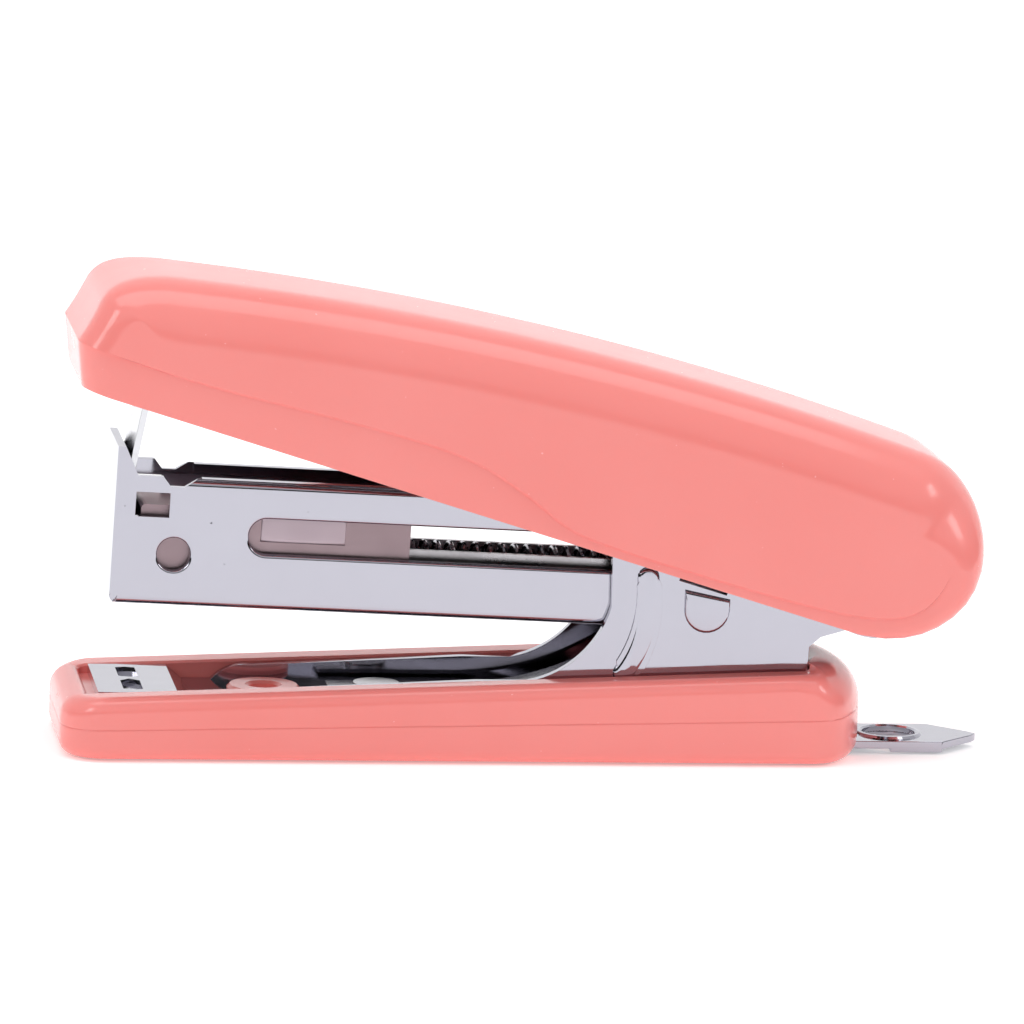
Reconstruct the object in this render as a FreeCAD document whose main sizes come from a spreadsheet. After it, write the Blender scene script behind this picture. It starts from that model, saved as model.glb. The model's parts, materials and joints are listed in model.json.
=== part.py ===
"""Mini stapler for No. 10 staples, as an assembly of separate pieces. Millimetres, degrees.

Frame: origin at the middle of the base's bottom face, +X to the rear, +Z up, the left and right
halves mirror each other in Y. Every piece that turns with the magazine is drawn in the magazine's own
frame, whose origin is the hinge, and placed by the magazine's resting tilt. The lid and its steelwork
are placed in the same way.
"""
import math
import os

import FreeCAD
import Part
import Sketcher

V = FreeCAD.Vector
Y_AXIS = V(0, 1, 0)

DIMENSIONS = {
    # hinge and resting tilts
    "pivot_x": 36.7,
    "pivot_z": 21.5,
    "magazine_tilt": 2.1,
    "lid_tilt": 16.83,
    "driver_tilt": 10.9,
    "pin_radius": 1.5,
    "pin_play": 0.05,
    # base cover
    "base_width": 23.0,
    "base_front": -48.2,
    "base_rear": 36.3,
    "base_wall": 1.6,
    "recess_width": 14.8,
    "recess_floor": 4.0,
    "underside_depth": 2.4,
    "stake_x_front": -26.7,
    "stake_x_rear": 12.0,
    "stake_stem_radius": 3.0,
    "stake_head_radius": 3.8,
    "stake_head_top": 5.8,
    "stake_bore_radius": 1.6,
    # base frame
    "steel": 1.0,
    "frame_width": 13.9,
    "anvil_width": 14.4,
    "anvil_front": -44.3,
    "anvil_rear": -36.2,
    "anvil_top": 6.3,
    "clinch_x": -40.6,
    "clinch_depth": 0.5,
    "bead_height": 0.25,
    # staple remover
    "remover_steel": 0.8,
    "remover_width": 9.0,
    "remover_tip": 48.2,
    "remover_top": 1.2,
    "remover_hole_x": 38.95,
    "remover_hole_radius": 2.75,
    "rivet_radius": 1.5,
    "remover_rivet_x": 20.0,
    "lift_rivet_x": -15.0,
    # magazine, in its own frame
    "mag_steel": 0.8,
    "mag_width": 11.5,
    "mag_front": -79.8,
    "mag_top": 3.95,
    "mag_bottom": -9.2,
    "mag_web_rear": -12.0,
    "mag_ear_radius": 5.8,
    "rail_width": 7.2,
    "rail_front": -76.9,
    "rail_rear": -15.5,
    "rail_steel": 0.6,
    "rail_top": -2.6,
    "rail_rivet_radius": 1.0,
    "rod_radius": 0.6,
    "rod_height": -3.8,
    "rod_front": -75.0,
    "stop_front": -15.0,
    "spring_radius": 1.8,
    "spring_bore": 1.4,
    # pusher, in the magazine's frame
    "pusher_width": 9.0,
    "pusher_steel": 0.6,
    "pusher_front": -77.0,
    "pusher_rear": -49.2,
    "pusher_top": 1.0,
    "pusher_bottom": -8.0,
    "pusher_rod_play": 0.1,
    # lid, in its own frame
    "lid_width": 24.0,
    "lid_wall": 1.6,
    "lid_edge_radius": 6.0,
    "lid_bottom": -8.3,
    "lid_rear_radius": 9.65,
    "lid_roof_radius": 340.0,
    "lid_notch_width": 14.8,
    "lid_notch_top": 2.5,
    "window_front": -65.9,
    "window_rear": -26.0,
    "window_bottom": -3.45,
    "window_top": 0.2,
    "side_hole_x": -73.5,
    "side_hole_z": -3.87,
    "side_hole_radius": 1.7,
    "rail_rivet_front": -60.0,
    "rail_rivet_rear": -25.0,
    "driver_rivet_x": -73.5,
    "driver_rivet_y": 2.5,
    "lid_post_front": -60.0,
    "lid_post_rear": -28.0,
    "post_radius": 1.8,
    # lid steelwork, in the driver's frame
    "arm_steel": 0.8,
    "arm_inner_width": 15.0,
    "arm_web_under": 9.2,
    "arm_front": -79.5,
    "arm_web_rear": -14.0,
    "arm_ear_radius": 6.2,
    "driver_steel": 0.7,
    "driver_width": 9.0,
    "driver_centre": -77.95,
    "driver_tip": -9.0,
    "driver_rivet_radius": 0.9,
    # spring on the hinge
    "bush_radius": 2.1,
    "coil_radius": 2.95,
    "coil_length": 4.4,
    "coil_wire": 0.8,
    # leaf spring under the magazine
    "leaf_width": 6.0,
    "leaf_steel": 0.5,
    "leaf_bend_x": -6.0,
    "leaf_bend_radius": 29.1,
    "leaf_bend_angle": 42.0,
}

doc = FreeCAD.newDocument("mini_stapler")
sheet = doc.addObject("Spreadsheet::Sheet", "Dimensions")
for row, (alias, number) in enumerate(DIMENSIONS.items(), start=1):
    sheet.set(f"A{row}", alias)
    sheet.set(f"B{row}", str(number))
    sheet.setAlias(f"B{row}", alias)
doc.recompute()

sub_parts = []


def dim(alias):
    """The sheet's value of one dimension."""
    return float(sheet.get(alias))


def hinge_placement(tilt):
    """The place of a piece whose own origin is the hinge, turned front end up by the tilt in degrees."""
    return FreeCAD.Placement(V(dim("pivot_x"), 0, dim("pivot_z")), FreeCAD.Rotation(Y_AXIS, tilt))


WORLD = FreeCAD.Placement()
MAGAZINE = hinge_placement(dim("magazine_tilt"))
LID = hinge_placement(dim("lid_tilt"))
DRIVER = hinge_placement(dim("driver_tilt"))
RAIL_RIVETS = ("rail_rivet_front", "rail_rivet_rear")


# ---------------------------------------------------------------- helpers


def keep(item, label, place=WORLD):
    """Marks an object as a finished sub-part."""
    item.Label = label
    item.Placement = place
    sub_parts.append(item)
    return item


def bind(item, **sizes):
    """Binds an object's properties to expressions of the sheet's cells."""
    for name, expression in sizes.items():
        item.setExpression(name, "".join(cells(expression)))
    return item


def cells(expression):
    """Puts the sheet's name before each alias in an expression."""
    word = ""
    for letter in expression + " ":
        if letter.isalnum() or letter == "_":
            word += letter
            continue
        yield f"Dimensions.{word}" if word in DIMENSIONS else word
        yield letter
        word = ""


def sketch(body, role, offset=0.0):
    """An empty sketch on one of a body's origin planes, moved along its normal by the offset."""
    item = body.newObject("Sketcher::SketchObject", "Sketch")
    origin_plane = next(feature for feature in body.Origin.OriginFeatures if feature.Role == role)
    item.AttachmentSupport = [(origin_plane, "")]
    item.MapMode = "FlatFace"
    item.AttachmentOffset = FreeCAD.Placement(V(0, 0, offset), FreeCAD.Rotation())
    return item


def draw(item, outline):
    """Draws a closed outline: (x, y) ends a straight line, (x, y, mid_x, mid_y) ends an arc."""
    last = outline[-1]
    for point in outline:
        start = V(last[0], last[1], 0)
        end = V(point[0], point[1], 0)
        if len(point) == 4:
            item.addGeometry(Part.Arc(start, V(point[2], point[3], 0), end), False)
        else:
            item.addGeometry(Part.LineSegment(start, end), False)
        last = point
    return item


def draw_circle(item, x, y, radius_alias):
    """Draws a circle whose radius is bound to the sheet."""
    index = item.addGeometry(Part.Circle(V(x, y, 0), V(0, 0, 1), dim(radius_alias)), False)
    constraint = item.addConstraint(Sketcher.Constraint("Radius", index, dim(radius_alias)))
    item.setExpression(f"Constraints[{constraint}]", f"Dimensions.{radius_alias}")
    return item


def rectangle(x0, x1, half):
    """A rectangle from x0 to x1, the same distance each side of the long axis."""
    return [(x0, -half), (x1, -half), (x1, half), (x0, half)]


def pad(body, profile, length, symmetric=True, reverse=False):
    """Adds a padded sketch. The length is an expression."""
    item = body.newObject("PartDesign::Pad", "Pad")
    item.Profile = profile
    item.SideType = "Symmetric" if symmetric else "One side"
    item.Reversed = reverse
    bind(item, Length=length)
    doc.recompute()
    return item


def pocket(body, profile, length=None, symmetric=False, up=False):
    """Cuts a sketch out of a body, right through if no length is given, and checks that it cut."""
    before = body.Shape.Volume
    item = body.newObject("PartDesign::Pocket", "Pocket")
    item.Profile = profile
    item.Type = "Length" if length else "ThroughAll"
    item.SideType = "Symmetric" if symmetric else "One side"
    item.Reversed = up
    if length:
        bind(item, Length=length)
    doc.recompute()
    if body.Shape.Volume > before - 1e-3:
        raise RuntimeError(f"a pocket in {body.Label} cut nothing")
    return item


def through_y(body, *outlines):
    """Cuts side-view outlines right through a body."""
    item = sketch(body, "XZ_Plane")
    for outline in outlines:
        draw(item, outline)
    return pocket(body, item, symmetric=True)


def round_edges(body, radius, chosen):
    """Fillets the edges of a body's tip that a test picks out."""
    tip = body.Tip
    names = [f"Edge{number}" for number, edge in enumerate(tip.Shape.Edges, start=1) if chosen(edge)]
    item = body.newObject("PartDesign::Fillet", "Fillet")
    item.Base = (tip, names)
    bind(item, Radius=radius)
    doc.recompute()
    return item


def new_body(label):
    """A new PartDesign body."""
    body = doc.addObject("PartDesign::Body", label)
    body.Label = label
    return body


def cylinder(radius, length, start, direction):
    """A cylinder whose radius and length are expressions."""
    item = doc.addObject("Part::Cylinder", "Cylinder")
    bind(item, Radius=radius, Height=length)
    item.Placement = FreeCAD.Placement(start, FreeCAD.Rotation(V(0, 0, 1), direction))
    return item


def box(length, width, height, corner):
    """A box whose sizes are expressions."""
    item = doc.addObject("Part::Box", "Box")
    bind(item, Length=length, Width=width, Height=height)
    item.Placement = FreeCAD.Placement(corner, FreeCAD.Rotation())
    return item


def fuse(*shapes):
    """One solid from several."""
    item = doc.addObject("Part::MultiFuse", "Fuse")
    item.Shapes = list(shapes)
    return item


def cut(base, tool):
    """One object less another."""
    item = doc.addObject("Part::Cut", "Cut")
    item.Base = base
    item.Tool = tool
    return item


def group(*shapes):
    """Separate solids in one node."""
    item = doc.addObject("Part::Compound", "Group")
    item.Links = list(shapes)
    return item


# ---------------------------------------------------------------- base


def base_cover():
    """The plastic base: a shoe with a recess for the steel frame, hollow underneath."""
    body = new_body("base_cover")
    front = dim("base_front")
    rear = dim("base_rear")
    nose = front - 0.2
    tail = rear + 0.4
    side = draw(
        sketch(body, "XZ_Plane"),
        [
            (nose, 2.6, nose + 0.75, 0.75),
            (nose, 4.3),
            (nose + 2.2, 6.3, nose + 0.65, 5.75),
            (31.3, 9.4),
            (tail, 4.4, 35.1, 7.9),
            (tail, 2.5),
            (tail - 2.5, 0, tail - 0.73, 0.73),
            (nose + 2.6, 0),
        ],
    )
    pad(body, side, "base_width")
    half = dim("base_width") / 2
    far = half + 5
    corners = draw(sketch(body, "XY_Plane"), [(-60, -far), (60, -far), (60, far), (-60, far)])
    draw(
        corners,
        [
            (front + 4.5, half, front + 1.3, half - 1.3),
            (30.5, half),
            (34.8, 7.5, 33.4, 10.3),
            (34.8, -7.5, rear, 0),
            (30.5, -half, 33.4, -10.3),
            (front + 4.5, -half),
            (front, -half + 4.5, front + 1.3, -half + 1.3),
            (front, half - 4.5),
        ],
    )
    pocket(body, corners, symmetric=True)
    floor = dim("recess_floor")
    inner = dim("recess_width") / 2
    pocket(body, draw(sketch(body, "XY_Plane", 5.3), rectangle(-45.4, -36.0, inner)), up=True)
    pocket(body, draw(sketch(body, "XY_Plane", floor), rectangle(-37.4, 29.2, inner)), up=True)
    wall = dim("base_wall")
    under = draw(sketch(body, "XY_Plane"), rectangle(front + 3.2, rear - 5.3, half - wall))
    pocket(body, under, "underside_depth", up=True)
    heel = draw(sketch(body, "XY_Plane", -1), rectangle(30.6, 33.3, 8.2))
    pocket(body, heel, "recess_floor + 4.4", up=True)
    mouth = draw(sketch(body, "XY_Plane", -1), rectangle(32.0, 40.0, dim("remover_width") / 2 + 0.3))
    pocket(body, mouth, "remover_top + 1.3", up=True)
    stakes = ("stake_x_front", "stake_x_rear")
    steps = (("stake_stem_radius", "recess_floor"), ("stake_head_radius", "recess_floor + steel"))
    for radius, height in steps:
        base = dim("recess_floor") + (0 if radius == "stake_stem_radius" else dim("steel"))
        disc = sketch(body, "XY_Plane", base)
        for stake in stakes:
            draw_circle(disc, dim(stake), 0, radius)
        pad(body, disc, f"stake_head_top - ({height})", symmetric=False)
    bores = sketch(body, "XY_Plane", -1)
    for stake in stakes:
        draw_circle(bores, dim(stake), 0, "stake_bore_radius")
    pocket(body, bores, up=True)
    rivet_hole = draw_circle(sketch(body, "XY_Plane", -1), dim("remover_rivet_x"), 0, "rivet_radius")
    pocket(body, rivet_hole, up=True)
    return keep(body, "base_cover")


def base_frame():
    """The steel base: anvil, channel and hinge cheeks pressed from one sheet."""
    body = new_body("base_frame")
    floor = dim("recess_floor")
    top = floor + dim("steel")
    anvil_top = dim("anvil_top")
    anvil_under = anvil_top - dim("steel")
    rear = dim("anvil_rear")
    floor_sketch = draw(
        sketch(body, "XZ_Plane"),
        [
            (rear, anvil_top),
            (rear + 1.6, top),
            (29.0, top),
            (29.0, floor),
            (rear + 1.2, floor),
            (rear - 0.4, anvil_under),
        ],
    )
    pad(body, floor_sketch, "frame_width")
    plate = draw(
        sketch(body, "XY_Plane", anvil_under), rectangle(dim("anvil_front"), rear, dim("anvil_width") / 2)
    )
    pad(body, plate, "steel", symmetric=False)
    px = dim("pivot_x")
    pz = dim("pivot_z")
    ear = dim("arm_ear_radius")
    lobe = 9.0
    lobe_rear = math.radians(-95)
    walls = draw(
        sketch(body, "XZ_Plane"),
        [
            (-31.6, floor),
            (-31.6, top),
            (-27.5, 6.55, -30.4, 6.0),
            (-5.5, 7.7),
            (-0.3, 7.7),
            (8.2, 15.6, 5.3, 10.6),
            (8.1, 20.9),
            (20.0, 24.5),
            (px - 2.0, pz + ear - 0.35),
            (px + ear, pz, px + 4.0, pz + 4.75),
            (px + 3.2, pz - 5.3, px + 5.4, pz - 3.05),
            (px + lobe * math.cos(lobe_rear), pz + lobe * math.sin(lobe_rear)),
            (32.7, 13.4, 34.2, 12.84),
            (30.1, 12.64),
            (28.9, 11.6),
            (28.7, floor),
        ],
    )
    pad(body, walls, "frame_width")
    half_inside = dim("frame_width") / 2 - dim("steel")
    inside = draw(sketch(body, "XY_Plane", top), rectangle(-33, px + lobe + 1, half_inside))
    pocket(body, inside, up=True)
    pin_hole = draw_circle(sketch(body, "XZ_Plane"), px, pz, "pin_radius")
    pocket(body, pin_hole, symmetric=True)
    through_y(body, [(15.1, 18.4), (20.1, 16.9), (20.45, 18.05), (15.45, 19.55)])
    holes = sketch(body, "XY_Plane", -1)
    for stake in ("stake_x_front", "stake_x_rear"):
        draw_circle(holes, dim(stake), 0, "stake_stem_radius")
    for rivet in ("remover_rivet_x", "lift_rivet_x"):
        draw_circle(holes, dim(rivet), 0, "rivet_radius")
    pocket(body, holes, "recess_floor + steel + 1.5", up=True)
    clinch_top = sketch(body, "XY_Plane", anvil_top)
    cx = dim("clinch_x")
    for side in (-1, 1):
        draw(
            clinch_top,
            [
                (cx - 1.0, side * 5.5),
                (cx - 1.0, side * 1.2),
                (cx, side * 0.25),
                (cx + 1.0, side * 1.2),
                (cx + 1.0, side * 5.5),
                (cx, side * 5.8),
            ],
        )
    pocket(body, clinch_top, "clinch_depth")
    bead = [
        (8.9, 10.0, 9.95, 8.5),
        (10.75, 17.8, 10.5, 14.0),
        (13.3, 17.3, 12.1, 18.9),
        (11.8, 9.1, 13.2, 13.2),
    ]
    half = dim("frame_width") / 2
    for side in (-1, 1):
        raised = draw(sketch(body, "XZ_Plane", side * half), bead)
        pad(body, raised, "bead_height", symmetric=False, reverse=side < 0)
    return keep(body, "base_frame")


def staple_remover():
    """The steel tongue behind the base, with turned-down sides, riveted under the frame."""
    body = new_body("staple_remover")
    sheet_steel = dim("remover_steel")
    top = dim("remover_top")
    floor = dim("underside_depth")
    tip = dim("remover_tip")
    half = dim("remover_width") / 2
    side = draw(
        sketch(body, "XZ_Plane"),
        [
            (14, floor),
            (28, floor),
            (32, top),
            (tip, top),
            (tip, top - sheet_steel),
            (31.8, top - sheet_steel),
            (27.8, floor - sheet_steel),
            (14, floor - sheet_steel),
        ],
    )
    pad(body, side, "remover_width")
    lip_front = 38.4
    lip_rear = 43.9
    for edge in (-1, 1):
        outer = edge * half
        inner = edge * (half - 0.8)
        lip = [(lip_front, outer), (lip_rear, outer), (lip_rear, inner), (lip_front, inner)]
        turned = draw(sketch(body, "XY_Plane", 0.05), lip)
        pad(body, turned, "remover_top - remover_steel", symmetric=False)
    for edge in (-1, 1):
        taper = [(lip_rear, edge * half), (47.6, edge * 0.9), (tip, 0)]
        sliver = [*taper, (60, 0), (60, edge * 9), (lip_rear, edge * 9)]
        pocket(body, draw(sketch(body, "XY_Plane", -1), sliver), up=True)
    hole = draw_circle(sketch(body, "XY_Plane", -1), dim("remover_hole_x"), 0, "remover_hole_radius")
    pocket(body, hole, up=True)
    rivet = draw_circle(sketch(body, "XY_Plane", -1), dim("remover_rivet_x"), 0, "rivet_radius")
    pocket(body, rivet, up=True)
    return keep(body, "staple_remover")


def rivet_up(x, y, under, top, radius, head_radius, head):
    """A rivet along +Z between two clamped faces, with a head at each end. The radii are expressions."""
    shank = cylinder(radius, str(top - under), V(x, y, under), V(0, 0, 1))
    low_head = cylinder(head_radius, str(head), V(x, y, under - head), V(0, 0, 1))
    high_head = cylinder(head_radius, str(head), V(x, y, top), V(0, 0, 1))
    return fuse(shank, low_head, high_head)


def remover_rivet():
    """Clamps the remover, the plastic floor and the frame together."""
    under = dim("underside_depth") - dim("remover_steel")
    top = dim("recess_floor") + dim("steel")
    rivet = rivet_up(dim("remover_rivet_x"), 0, under, top, "rivet_radius", "rivet_radius + 1.1", 0.7)
    return keep(rivet, "remover_rivet")


def magazine_lift_spring():
    """A leaf on the channel floor that curves up to the underside of the magazine."""
    body = new_body("magazine_lift_spring")
    floor = dim("recess_floor") + dim("steel")
    thick = dim("leaf_steel")
    start = dim("leaf_bend_x")
    radius = dim("leaf_bend_radius")
    turn = math.radians(dim("leaf_bend_angle"))

    def on_arc(bend_radius, angle):
        return (start + bend_radius * math.sin(angle), floor + radius - bend_radius * math.cos(angle))

    inner = radius - thick
    low_end = on_arc(radius, turn)
    high_end = on_arc(inner, turn)
    side = draw(
        sketch(body, "XZ_Plane"),
        [
            (start, floor),
            (*low_end, *on_arc(radius, turn / 2)),
            high_end,
            (start, floor + thick, *on_arc(inner, turn / 2)),
            (-20, floor + thick),
            (-20, floor),
        ],
    )
    pad(body, side, "leaf_width")
    hole = draw_circle(sketch(body, "XY_Plane", 1), dim("lift_rivet_x"), 0, "rivet_radius")
    pocket(body, hole, up=True)
    return keep(body, "magazine_lift_spring")


def lift_spring_rivet():
    """Holds the leaf to the channel floor, its lower head sunk in the sheet's underside."""
    floor = dim("recess_floor")
    top = floor + dim("steel") + dim("leaf_steel")
    x = dim("lift_rivet_x")
    shank = cylinder("rivet_radius", "steel + leaf_steel", V(x, 0, floor), V(0, 0, 1))
    head = cylinder("rivet_radius + 0.9", "0.6", V(x, 0, top), V(0, 0, 1))
    return keep(fuse(shank, head), "lift_spring_rivet")


def hinge_pin():
    """The pin through cheeks, magazine and lid arms, with a head at each end."""
    reach = dim("arm_inner_width") / 2 + dim("arm_steel") + 0.05
    px = dim("pivot_x")
    pz = dim("pivot_z")
    shank = cylinder("pin_radius", str(2 * reach), V(px, -reach, pz), Y_AXIS)
    heads = [cylinder("pin_radius + 1.1", "0.8", V(px, y, pz), Y_AXIS) for y in (-reach - 0.8, reach)]
    return keep(fuse(shank, *heads), "hinge_pin")


# ---------------------------------------------------------------- magazine


def magazine_channel():
    """The staple magazine: a folded U channel with a front plate, windows and hinge ears."""
    body = new_body("magazine_channel")
    front = dim("mag_front")
    inside_front = front + dim("mag_steel")
    top = dim("mag_top")
    bottom = dim("mag_bottom")
    web_rear = dim("mag_web_rear")
    lip_top = 7.0
    side = draw(
        sketch(body, "XZ_Plane"),
        [
            (front, lip_top),
            (inside_front, lip_top),
            (inside_front + 1.4, 4.1),
            (-75.0, 4.1),
            (-74.2, 3.1),
            (-72.8, 3.1),
            (-71.5, top),
            (-8.0, top),
            (-3.0, 4.97),
            (dim("mag_ear_radius"), 0, 3.6, 4.55),
            (1.49, -5.6, 4.5, -3.66),
            (web_rear, bottom),
            (front + 0.8, bottom),
            (front, bottom + 0.8, front + 0.23, bottom + 0.23),
        ],
    )
    pad(body, side, "mag_width")
    half = dim("mag_width") / 2 - dim("mag_steel")
    web_top = bottom + dim("mag_steel")
    inside = draw(sketch(body, "XY_Plane", web_top), rectangle(inside_front, 12, half))
    pocket(body, inside, up=True)
    for edge in (-1, 1):
        inner = edge * 3.9
        outer = edge * (half + 0.4)
        lip = [(-71.0, inner), (-17.0, inner), (-17.0, outer), (-71.0, outer)]
        curled = draw(sketch(body, "XY_Plane", top - dim("mag_steel")), lip)
        pad(body, curled, "mag_steel", symmetric=False)
    mouth = rectangle(inside_front, inside_front + 2.0, half)
    exit_slot = draw(sketch(body, "XY_Plane", bottom - 1), mouth)
    pocket(body, exit_slot, "mag_steel + 1.5", up=True)
    low = dim("window_bottom")
    high = dim("window_top")
    near = dim("window_front")
    far = dim("window_rear")
    end = (high - low) / 2
    centre = (high + low) / 2
    window = [
        (near + end, high, near, centre),
        (far, high),
        (far, low, far + end, centre),
        (near + end, low),
    ]
    square_window = [(-77.7, -0.1), (-74.2, -0.1), (-74.2, 2.45), (-77.7, 2.45)]
    through_y(body, window, square_window)
    holes = sketch(body, "XZ_Plane")
    draw_circle(holes, dim("side_hole_x"), dim("side_hole_z"), "side_hole_radius")
    pocket(body, holes, symmetric=True)
    pin_hole = sketch(body, "XZ_Plane")
    pin_hole.addGeometry(Part.Circle(V(0, 0, 0), V(0, 0, 1), dim("pin_radius") + dim("pin_play")), False)
    pocket(body, pin_hole, symmetric=True)
    rivets = sketch(body, "XY_Plane", bottom - 1)
    for place in RAIL_RIVETS:
        draw_circle(rivets, dim(place), 0, "rail_rivet_radius")
    pocket(body, rivets, "mag_steel + 1.5", up=True)
    return keep(body, "magazine_channel", MAGAZINE)


def staple_rail():
    """The U trough that the staples straddle."""
    body = new_body("staple_rail")
    web_top = dim("mag_bottom") + dim("mag_steel")
    front = dim("rail_front")
    rear = dim("rail_rear")
    top = dim("rail_top")
    side = draw(
        sketch(body, "XZ_Plane"),
        [
            (front, web_top),
            (rear, web_top),
            (rear, top),
            (front + 0.6, top),
            (front, top - 0.6, front + 0.18, top - 0.18),
        ],
    )
    pad(body, side, "rail_width")
    half = dim("rail_width") / 2 - dim("rail_steel")
    inside = draw(
        sketch(body, "XY_Plane", web_top + dim("rail_steel")), rectangle(front - 1, rear + 1, half)
    )
    pocket(body, inside, up=True)
    rivets = sketch(body, "XY_Plane", dim("mag_bottom") - 1)
    for place in RAIL_RIVETS:
        draw_circle(rivets, dim(place), 0, "rail_rivet_radius")
    pocket(body, rivets, up=True)
    return keep(body, "staple_rail", MAGAZINE)


def rail_rivets():
    """Two low rivets that hold the rail to the magazine's floor."""
    bottom = dim("mag_bottom")
    top = bottom + dim("mag_steel") + dim("rail_steel")
    head = "rail_rivet_radius + 0.7"
    places = [dim(place) for place in RAIL_RIVETS]
    rivets = [rivet_up(x, 0, bottom, top, "rail_rivet_radius", head, 0.3) for x in places]
    return keep(group(*rivets), "rail_rivets", MAGAZINE)


def spring_rod():
    """The rod that guides the pusher and its spring."""
    start = V(dim("rod_front"), 0, dim("rod_height"))
    rod = cylinder("rod_radius", "stop_front + 0.8 - rod_front", start, V(1, 0, 0))
    holder = group(rod)
    return keep(holder, "spring_rod", MAGAZINE)


def pusher_spring():
    """The envelope of the coil spring between the rear stop and the pusher."""
    start = V(dim("pusher_rear") - 1.5, 0, dim("rod_height"))
    length = "stop_front - pusher_rear + 1.5"
    outside = cylinder("spring_radius", length, start, V(1, 0, 0))
    bore = cylinder("spring_bore", length, start, V(1, 0, 0))
    coil = cut(outside, bore)
    return keep(coil, "pusher_spring", MAGAZINE)


def rear_spring_stop():
    """The plate across the magazine that the spring and rod bear on."""
    front = dim("stop_front")
    half = dim("mag_width") / 2 - dim("mag_steel")
    web_top = dim("mag_bottom") + dim("mag_steel")
    plate = box("mag_steel", str(2 * half), "6.6", V(front, -half, web_top))
    hole = cylinder("rod_radius", "4", V(front - 2, 0, dim("rod_height")), V(1, 0, 0))
    return keep(cut(plate, hole), "rear_spring_stop", MAGAZINE)


def pusher():
    """The saddle that slides on the rail behind the staples, with a tab inside for the spring."""
    body = new_body("pusher")
    front = dim("pusher_front")
    rear = dim("pusher_rear")
    top = dim("pusher_top")
    bottom = dim("pusher_bottom")
    sheet_steel = dim("pusher_steel")
    side = draw(
        sketch(body, "XZ_Plane"),
        [
            (front, bottom),
            (rear, bottom),
            (rear, top - 0.5),
            (rear - 0.5, top, rear - 0.15, top - 0.15),
            (front + 0.5, top),
            (front, top - 0.5, front + 0.15, top - 0.15),
        ],
    )
    pad(body, side, "pusher_width")
    half = dim("pusher_width") / 2 - sheet_steel
    inside = draw(sketch(body, "XY_Plane", top - sheet_steel), rectangle(front - 1, rear + 1, half))
    pocket(body, inside)
    tab_rear = rear - 1.5
    tab_front = tab_rear - 0.8
    tab_top = top - 0.3
    tab_outline = [(tab_front, -7.3), (tab_rear, -7.3), (tab_rear, tab_top), (tab_front, tab_top)]
    tab = draw(sketch(body, "XZ_Plane"), tab_outline)
    pad(body, tab, "rail_width - 2 * rail_steel - 0.8")
    hole = sketch(body, "YZ_Plane", tab_rear - 2)
    hole_radius = dim("rod_radius") + dim("pusher_rod_play")
    hole.addGeometry(Part.Circle(V(0, dim("rod_height"), 0), V(0, 0, 1), hole_radius), False)
    pocket(body, hole, "3", up=True)
    return keep(body, "pusher", MAGAZINE)


# ---------------------------------------------------------------- lid


def lid_outline(inset, bottom, rear_turn):
    """The lid's side view, drawn smaller by the inset. The rear arc ends at an angle in degrees."""
    rear_radius = dim("lid_rear_radius") - inset
    roof_radius = dim("lid_roof_radius") - inset
    rear_x = 0.35
    rear_z = 1.35
    join = math.radians(90 - 2.316)
    span = dim("lid_roof_radius") - dim("lid_rear_radius")
    roof_x = rear_x - span * math.cos(join)
    roof_z = rear_z - span * math.sin(join)

    def on_rear(angle):
        return (rear_x + rear_radius * math.cos(angle), rear_z + rear_radius * math.sin(angle))

    def roof(x):
        return roof_z + math.sqrt(roof_radius**2 - (x - roof_x) ** 2)

    low = math.radians(-rear_turn)
    rear_low = on_rear(low)
    roof_front = -80 + inset / 2
    outline = [
        (-84.8 + inset, bottom),
        (-86.75 + inset, -3.9),
        (-85.7 + inset, 1.5),
        (roof_front, roof(roof_front), -84.0 + inset, 3.15 - inset),
        (*on_rear(join), -40.0, roof(-40.0)),
        (*rear_low, *on_rear((join + low) / 2)),
    ]
    if rear_low[1] > bottom:
        outline.append((rear_low[0], bottom))
    return outline


def rounded_lid(label, inset):
    """A tall lid shape with every edge of its two sides rounded, to be trimmed below."""
    body = new_body(label)
    outline = lid_outline(inset, dim("lid_bottom") - 8, 0)
    pad(body, draw(sketch(body, "XZ_Plane"), outline), f"lid_width - {2 * inset}")
    half = dim("lid_width") / 2 - inset

    def on_side(edge):
        extent = edge.BoundBox
        return extent.YLength < 1e-3 and abs(abs(extent.YMin) - half) < 1e-3

    round_edges(body, f"lid_edge_radius - {inset}", on_side)
    return body


def handle_cover():
    """The plastic lid, open below, notched at the rear, with two posts inside the roof."""
    trim = new_body("lid_trim")
    pad(trim, draw(sketch(trim, "XZ_Plane"), lid_outline(0, dim("lid_bottom"), 78)), "lid_width + 2")
    tall = rounded_lid("lid_outside", 0)
    inside = rounded_lid("lid_inside", dim("lid_wall"))
    outside = doc.addObject("Part::MultiCommon", "Common")
    outside.Shapes = [tall, trim]
    shell = cut(outside, inside)
    notch_width = dim("lid_notch_width")
    notch = box("14", "lid_notch_width", "lid_notch_top + 14", V(0, -notch_width / 2, -14))
    shell = cut(shell, notch)
    slope = math.radians(dim("lid_tilt") - dim("driver_tilt"))
    web_top = dim("arm_web_under") + dim("arm_steel")
    posts = []
    for along in (dim("lid_post_front"), dim("lid_post_rear")):
        foot_x = along * math.cos(slope) - web_top * math.sin(slope)
        foot_z = along * math.sin(slope) + web_top * math.cos(slope)
        up = V(-math.sin(slope), 0, math.cos(slope))
        posts.append(cylinder("post_radius", "lid_wall + 1.6", V(foot_x, 0, foot_z), up))
    return keep(fuse(shell, *posts), "handle_cover", LID)


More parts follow.
